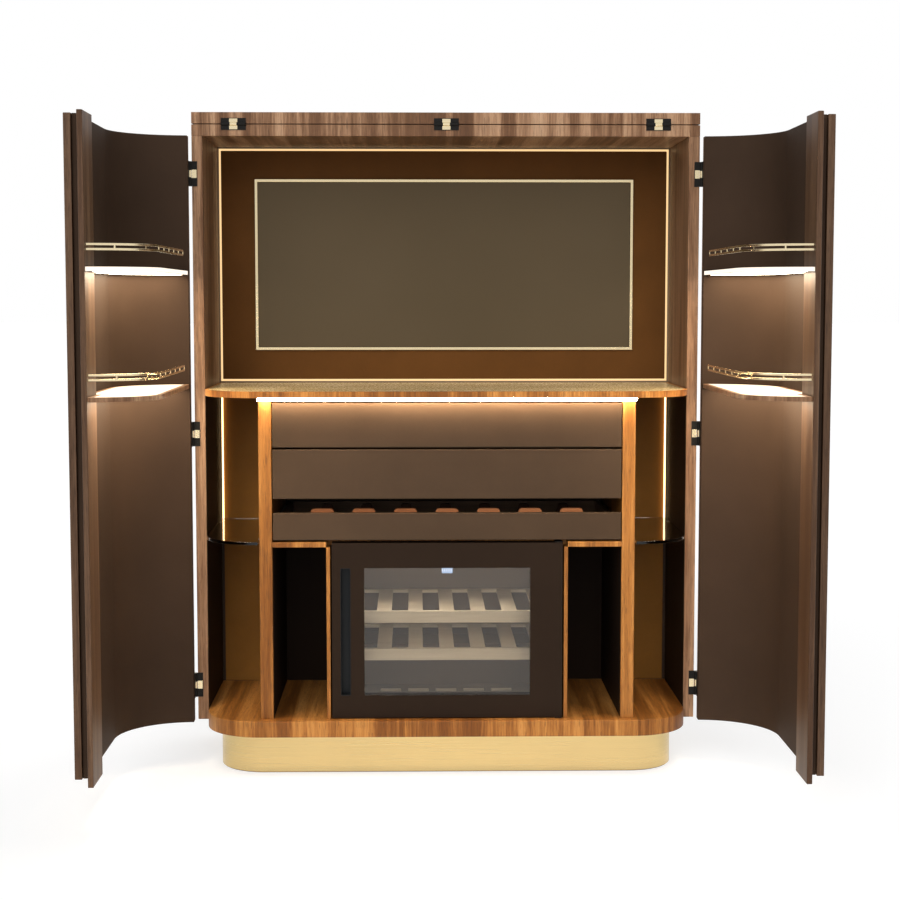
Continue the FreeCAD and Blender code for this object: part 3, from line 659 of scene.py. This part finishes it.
skin = roundBoard("plinthSkin", *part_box("plinth_skin"), roundCorner["plinth"], roundCorner["plinthSteps"])
chooseFaces(skin, (0, 0, 1), (0, 0, -1), (0, 1, 0))
bpy.ops.mesh.delete(type="FACE")
editing(False)
bakeModifier(skin, "SOLIDIFY", thickness=roundCorner["plinthSkin"], offset=-1.0, use_even_offset=True)
soften(skin, roundCorner["edge"])
dress(skin, "brassPlinth", "case", "brass", "plinth_skin")
print("base, counter and plinth rounded")

# Back wall
backWall = {
    "back_lining": ("backLining", "hideWall", 0.002, "hide"),
    "mirror": ("mirrorGlass", "mirror", 0.0015, "bronze_mirror"),
    "mirror_frame": ("mirrorFrame", "brassLit", 0.0010, "brass"),
    "glass_shelves": ("glassShelves", "glass", 0.0012, "clear_glass"),
}
for nodeName, (name, paint, edge, slot) in backWall.items():
    dress(softCopy(nodeName, name, edge), paint, "case", slot, nodeName)

# Thin linings of the end niches and of the bays beside the cooler: near-black hide on the niche sides and in
# the bays is painted shade, golden hide on the niche backs is painted light
nicheLining = {"thick": 0.0008, "gap": 0.0005, "ledWidth": 0.008, "setBack": 0.012, "edge": 0.0003}
thick = nicheLining["thick"]
sideLow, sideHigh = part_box("side_right")
dividerLow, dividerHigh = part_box("dividers")
deckLow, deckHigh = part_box("drawer_deck")
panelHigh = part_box("cooler_side_panels")[1]
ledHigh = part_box("case_led_strips")[1]
nicheTop = counterLow.z - nicheLining["gap"]
nicheFloor = baseHigh.z + nicheLining["gap"]
bayFront = dividerLow.y + nicheLining["setBack"]
bayCorner = (deckHigh.x, backLow.y, deckLow.z)
linings = {
    "nicheSide": ("hidePaintedShade", (sideLow.x - thick, 0, nicheFloor),
                  (sideLow.x, ledHigh.y - nicheLining["ledWidth"], nicheTop)),
    "nicheBack": ("hideNichePaintedLight", (dividerHigh.x, backLow.y - thick, nicheFloor),
                  (sideLow.x - nicheLining["ledWidth"], backLow.y, nicheTop)),
    "bayBack": ("hidePaintedShade", (panelHigh.x, backLow.y - thick, nicheFloor), bayCorner),
    "bayDivider": ("hidePaintedShade", (deckHigh.x - thick, bayFront, nicheFloor), bayCorner),
    "bayPanel": ("hidePaintedShade", (panelHigh.x, bayFront, nicheFloor),
                 (panelHigh.x + thick, backLow.y, deckLow.z)),
}
for name, (paint, low, high) in linings.items():
    piece = block(name + "Right", low, high)
    soften(piece, nicheLining["edge"], 1)
    dress(mirrored(piece, name + "Left"), paint, "case", "hide")
    dress(piece, paint, "case", "hide")
print("back wall and niches lined")

# Drawers: hide-faced fronts, boxes from boards, felt mats and the scalloped cradles
drawerBuild = {"wall": 0.012, "bottom": 0.008, "edge": 0.0012, "frontEdge": 0.0022, "runnerEdge": 0.0008,
               "cradleEdge": 0.0015, "mat": 0.0015, "matGap": 0.003, "matEdge": 0.0006}
for key in ("upper", "lower", "rack"):
    body = key + "_drawer"
    front = softCopy(body + "_front", key + "DrawerFront", drawerBuild["frontEdge"], 4)
    dress(front, "hideFront", body, "hide", body + "_front")
    low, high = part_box(body + "_box")
    wall = drawerBuild["wall"]
    floorTop = low.z + drawerBuild["bottom"]
    boards = [
        block("board", low, (low.x + wall, high.y, high.z)),
        block("board", (high.x - wall, low.y, low.z), high),
        block("board", (low.x + wall, low.y, low.z), (high.x - wall, low.y + wall, high.z)),
        block("board", (low.x + wall, high.y - wall, low.z), (high.x - wall, high.y, high.z)),
        block("board", (low.x + wall, low.y + wall, low.z), (high.x - wall, high.y - wall, floorTop)),
    ]
    for board in boards:
        soften(board, drawerBuild["edge"])
    dress(joined(key + "DrawerBox", boards), "innerWood", body, "inner_wood", body + "_box")
    if key != "rack":  # the cradles stand on a bare bottom
        inset = wall + drawerBuild["matGap"]
        mat = block(key + "DrawerMat", (low.x + inset, low.y + inset, floorTop),
                    (high.x - inset, high.y - inset, floorTop + drawerBuild["mat"]))
        soften(mat, drawerBuild["matEdge"])
        dress(mat, "felt", body, "hide")
    runners = softCopy(body + "_runners", key + "DrawerRunners", drawerBuild["runnerEdge"])
    dress(runners, "steel", body, "steel", body + "_runners")
cradles = softCopy("rack_cradles", "rackCradles", drawerBuild["cradleEdge"], 3)
dress(cradles, "cradle", "rack_drawer", "inner_wood", "rack_cradles")
fixedRunners = softCopy("drawer_runners_fixed", "fixedRunners", drawerBuild["runnerEdge"])
dress(fixedRunners, "steel", "case", "steel", "drawer_runners_fixed")
print("drawers built")

# Wine cooler: its door, a lamp under the roof and stops on the floor
coolerDoor = {
    "cooler_door_frame": ("coolerDoorFrame", "coolerFrame", "cooler_black", 0.0018, 3),
    "cooler_grip": ("coolerGrip", "coolerGrip", "cooler_black", 0.0006, 2),
    "cooler_door_glass": ("coolerDoorGlass", "smoked", "smoked_glass", 0.0010, 2),
    "cooler_display": ("coolerDisplay", "screen", "screen", 0.0008, 2),
    "cooler_gasket": ("coolerGasket", "rubber", "rubber", 0.0018, 3),
}
for nodeName, (name, paint, slot, edge, steps) in coolerDoor.items():
    dress(softCopy(nodeName, name, edge, steps), paint, "cooler_door", slot, nodeName)
coolerWall = 0.030
coolerLamp = {"depth": 0.010, "height": 0.004, "setBack": 0.014, "short": 0.02, "edge": 0.0012}
coolerStop = {"count": 5, "pitch": 0.074, "length": 0.055, "height": 0.006, "depth": 0.012, "setBack": 0.145,
              "edge": 0.0018}
housingLow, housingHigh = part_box("cooler_housing")
roomLow = housingLow + Vector((coolerWall, 0, coolerWall))
roomHigh = housingHigh - Vector((coolerWall, 0, coolerWall))
lampFront = roomLow.y + coolerLamp["setBack"]
lamp = block("coolerLamp", (roomLow.x + coolerLamp["short"], lampFront, roomHigh.z - coolerLamp["height"]),
             (roomHigh.x - coolerLamp["short"], lampFront + coolerLamp["depth"], roomHigh.z))
soften(lamp, coolerLamp["edge"])
dress(lamp, "ledCooler", "case", "light")
stopFront = roomLow.y + coolerStop["setBack"]
oneStop = block("stop", (-coolerStop["length"] / 2, stopFront, roomLow.z),
                (coolerStop["length"] / 2, stopFront + coolerStop["depth"], roomLow.z + coolerStop["height"]))
soften(oneStop, coolerStop["edge"], 3)
middleStop = (coolerStop["count"] - 1) / 2
stops = [copied(oneStop, ((i - middleStop) * coolerStop["pitch"], 0, 0)) for i in range(coolerStop["count"])]
bpy.data.objects.remove(oneStop)
dress(joined("coolerFloorStops", stops), "beech", "case", "beech")
print("cooler dressed")

# Doors: bent shells and linings, stiles, shelves and rails, made for the left and mirrored
doorBoard = {"shell": 0.017, "lining": 0.0108, "edge": 0.0015, "bendSteps": 40, "edgeDegrees": 50}
doorCopies = {
    "stile": ("DoorStile", "walnutDoor", "walnut", 0.0015, 2),
    "shelf_lower": ("DoorShelfLower", "walnutUp", "walnut", 0.0010, 2),
    "shelf_upper": ("DoorShelfUpper", "litEdge", "walnut", 0.0010, 2),
    "shelf_lights": ("DoorShelfLights", "ledPanel", "light", 0.0004, 1),
    "under_lights": ("DoorUnderLights", "ledUnder", "light", 0.0004, 1),
}
gallery = {"bend": 0.140, "bendSteps": 20, "thick": 0.0025, "height": 0.005, "low": 0.036, "high": 0.047,
           "barEdge": 0.0007, "link": 0.004, "linkEdge": 0.0005, "linkBite": 0.0005, "linkCount": 6,
           "bendLinks": (30.0, 65.0)}


def bentDoorBoard(nodeName, name, thick):
    low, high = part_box(nodeName)
    points = [(low.x, low.y), (low.x, high.y), (high.x, high.y)]
    piece = bentSheet(name, points, high.x - low.x, low.z, high.z, thick, doorBoard["bendSteps"])
    soften(piece, doorBoard["edge"], 2, doorBoard["edgeDegrees"])
    return piece


def galleryRail(shelfNode, name):  # two bent bars and the links between them
    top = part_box(shelfNode)[1].z
    low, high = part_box("left_door_gallery_rails")
    points = [(high.x, high.y), (high.x, low.y), (low.x, low.y)]
    bend = gallery["bend"]
    pieces = []
    for lift in (gallery["low"], gallery["high"]):
        bar = bentSheet("bar", points, bend, top + lift, top + lift + gallery["height"], gallery["thick"],
                        gallery["bendSteps"])
        soften(bar, gallery["barEdge"])
        pieces.append(bar)
    half = gallery["link"] / 2
    oneLink = block("link", (bend - gallery["thick"], -half,
                             top + gallery["low"] + gallery["height"] - gallery["linkBite"]),
                    (bend, half, top + gallery["high"] + gallery["linkBite"]))
    soften(oneLink, gallery["linkEdge"])
    middleX = high.x - bend
    middleY = low.y + bend
    step = (high.y - middleY - gallery["link"]) / (gallery["linkCount"] - 1)
    for i in range(gallery["linkCount"]):
        pieces.append(copied(oneLink, (middleX, high.y - half - i * step, 0)))
    for turn in gallery["bendLinks"]:
        pieces.append(copied(oneLink, (middleX, middleY, 0), -math.radians(turn)))
    bpy.data.objects.remove(oneLink)
    return joined(name, pieces)


leftDoor = {
    "shell": (bentDoorBoard("left_door_shell", "DoorShell", doorBoard["shell"]), "walnutDoor", "walnut"),
    "lining": (bentDoorBoard("left_door_lining", "DoorLining", doorBoard["lining"]), "hideDoor", "hide"),
}
for part, (name, paint, slot, edge, steps) in doorCopies.items():
    leftDoor[part] = (softCopy("left_door_" + part, name, edge, steps), paint, slot)
rails = joined("DoorRails", [galleryRail("left_door_shelf_lower", "railLower"),
                             galleryRail("left_door_shelf_upper", "railUpper")])
leftDoor["gallery_rails"] = (rails, "brassPale", "brass")
for part, (piece, paint, slot) in leftDoor.items():
    plain = piece.name
    dress(mirrored(piece, "right" + plain), paint, "right_door", slot, "right_door_" + part)
    piece.name = "left" + plain
    dress(piece, paint, "left_door", slot, "left_door_" + part)
print("doors built")

# Hinges: brass sleeve on the middle knuckle, thin brass plates and screws on the black leaves
hingeBuild = {"length": 0.064, "leafThick": 0.0018, "middle": 0.0175, "barrel": 0.0045, "sleeve": 0.00015,
              "sleeveEdge": 0.0004, "sleeveSides": 32, "plate": 0.00015, "plateWidth": 0.021,
              "plateReach": 0.0125, "plateEdge": 0.00005}
hingeScrew = {"radius": 0.0023, "proud": 0.00015, "sink": 0.0001, "slotRim": 0.45, "sides": 24,
              "endGap": 0.009, "alongPlate": 0.55}
hingeJoints = {joint["name"]: Vector(joint["pos_m"]) for joint in frame["record"]["behaviour"]["joints"]
               if "pos_m" in joint}


def screwHead(spot, normal):  # a flat round head with a sunk slot
    piece = rod("screw", spot, spot + normal * hingeScrew["proud"], hingeScrew["radius"], hingeScrew["sides"])
    sinkField(piece, normal, hingeScrew["radius"] * hingeScrew["slotRim"], hingeScrew["sink"])
    smooth(piece)
    return piece


def hingeDress(name, middle, along, leaves):  # each leaf: its body, where it starts, its run
    along = Vector(along)
    half = along * hingeBuild["middle"] / 2
    radius = hingeBuild["barrel"] + hingeBuild["sleeve"]
    sleeve = rod(name + "Sleeve", middle - half, middle + half, radius, hingeBuild["sleeveSides"])
    soften(sleeve, hingeBuild["sleeveEdge"], 2, 60)
    normal = Vector((0, -1, 0))
    for body, start, across in leaves:
        reach = Vector(across) * hingeBuild["plateReach"]
        wide = along * hingeBuild["plateWidth"] / 2
        corners = (start - wide, start + wide + reach + normal * hingeBuild["plate"])
        low = [min(a, b) for a, b in zip(*corners)]
        high = [max(a, b) for a, b in zip(*corners)]
        plate = block(name + body + "Plate", low, high)
        soften(plate, hingeBuild["plateEdge"], 1)
        dress(plate, "brassPale", body, "brass")
        step = along * (hingeBuild["length"] / 2 - hingeScrew["endGap"])
        row = start + reach * hingeScrew["alongPlate"]
        screws = [screwHead(row + step * way, normal) for way in (-1, 1)]
        dress(joined(name + body + "Screws", screws), "black", body, "black_metal")
    return sleeve


def threeSpots(low, middle, high):  # the middles of three hinges between two ends
    return low + hingeBuild["length"] / 2, middle, high - hingeBuild["length"] / 2


leafFront = -hingeBuild["leafThick"]
for side, way in (("left", -1), ("right", 1)):
    axis = hingeJoints[side + "_door_hinge"]
    low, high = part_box(side + "_door_hinge_leaves")
    for i, height in enumerate(threeSpots(low.z, axis.z, high.z)):
        edge = Vector((way * sideHigh.x, leafFront, height))
        sleeve = hingeDress(f"{side}Hinge{i}", Vector((axis.x, axis.y, height)), (0, 0, 1),
                            [("case", edge, (-way, 0, 0))])
        dress(sleeve, "brassPale", side + "_door", "brass")
lidAxis = hingeJoints["lid_hinge"]
low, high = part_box("lid_hinge_leaves")
for i, x in enumerate(threeSpots(low.x, 0.0, high.x)):
    foot = Vector((x, leafFront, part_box("top_board")[1].z))
    head = Vector((x, leafFront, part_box("lid_board")[0].z))
    sleeve = hingeDress(f"lidHinge{i}", Vector((x, lidAxis.y, lidAxis.z)), (1, 0, 0),
                        [("case", foot, (0, 0, -1)), ("lid", head, (0, 0, 1))])
    dress(sleeve, "brassPale", "lid", "brass")
print("hinges dressed")

# Finishes of the solids that stay as they are
keptSolids = {
    "ledWarm": ["case_led_strips"],
    "innerWood": ["plinth_core"],
    "steel": ["shelf_pegs"],
    "coolerLiner": ["cooler_housing"],
    "beech": ["cooler_shelves"],
    "black": ["cooler_compressor", "cooler_pivots", "case_hinge_leaves", "lid_hinge_leaves",
              "left_door_hinge_leaves", "right_door_hinge_leaves"],
    "brass": ["hinge_pins"],
}
for paint, names in keptSolids.items():
    for name in names:
        nodes[name].data.materials.clear()
        nodes[name].data.materials.append(paints[paint])
print("kept solids painted")

# Floor and light
stage = {"floorSize": 160.0, "floorBack": 4.0, "floorColor": (0.92, 0.92, 0.92), "floorRough": 0.9,
         "white": 0.5, "glow": 1.25, "ambient": 0.42, "softness": 50.0}
suns = {"keyLight": ((-1.2, -5.6, 2.8), 2.3), "rearLight": ((2.5, 4.5, 3.6), 0.9)}
bpy.ops.object.select_all(action="DESELECT")
bpy.ops.mesh.primitive_plane_add(size=stage["floorSize"], location=(0, stage["floorBack"], 0))
floor = bpy.context.view_layer.objects.active
floor.name = "paleFloor"
floorPaint = Paint("paleFloor", color=stage["floorColor"], rough=stage["floorRough"])
floorGlow = floorPaint.node("ShaderNodeEmission", {}, {"Strength": stage["glow"]})
floorPaint.overlay(floorPaint.seenShare() * stage["white"], floorGlow)
floor.data.materials.append(floorPaint.material)

surround = Surround("whiteRoom", color=(1, 1, 1), glowStrength=stage["ambient"])
surround.overlay(surround.seenShare(), surround.node("ShaderNodeBackground", {}, {"Color": (1, 1, 1)}))
bpy.context.scene.world = surround.world

for name, (spot, strength) in suns.items():  # wide even light from far off
    bpy.ops.object.light_add(type="SUN", location=spot)
    sun = bpy.context.view_layer.objects.active
    sun.name = name
    sun.data.energy = strength
    sun.data.angle = math.radians(stage["softness"])
    sun.visible_glossy = False
    sun.visible_transmission = False
    sun.rotation_mode = "QUATERNION"
    sun.rotation_quaternion = (-Vector(spot)).to_track_quat("-Z", "Y")

# Camera
cameraView = {"spot": (-0.08, -4.6287, 1.2261), "pitchDown": 4.865, "turn": -1.105, "lens": 71.02,
              "sensor": 36.0}
bpy.ops.object.camera_add(location=cameraView["spot"])
camera = bpy.context.view_layer.objects.active
camera.name = "photoCamera"
camera.rotation_euler = (math.radians(90 - cameraView["pitchDown"]), 0, math.radians(cameraView["turn"]))
camera.data.lens = cameraView["lens"]
camera.data.sensor_width = cameraView["sensor"]
bpy.context.scene.camera = camera
bpy.context.scene.view_settings.view_transform = "Standard"
print("floor, light and camera set")
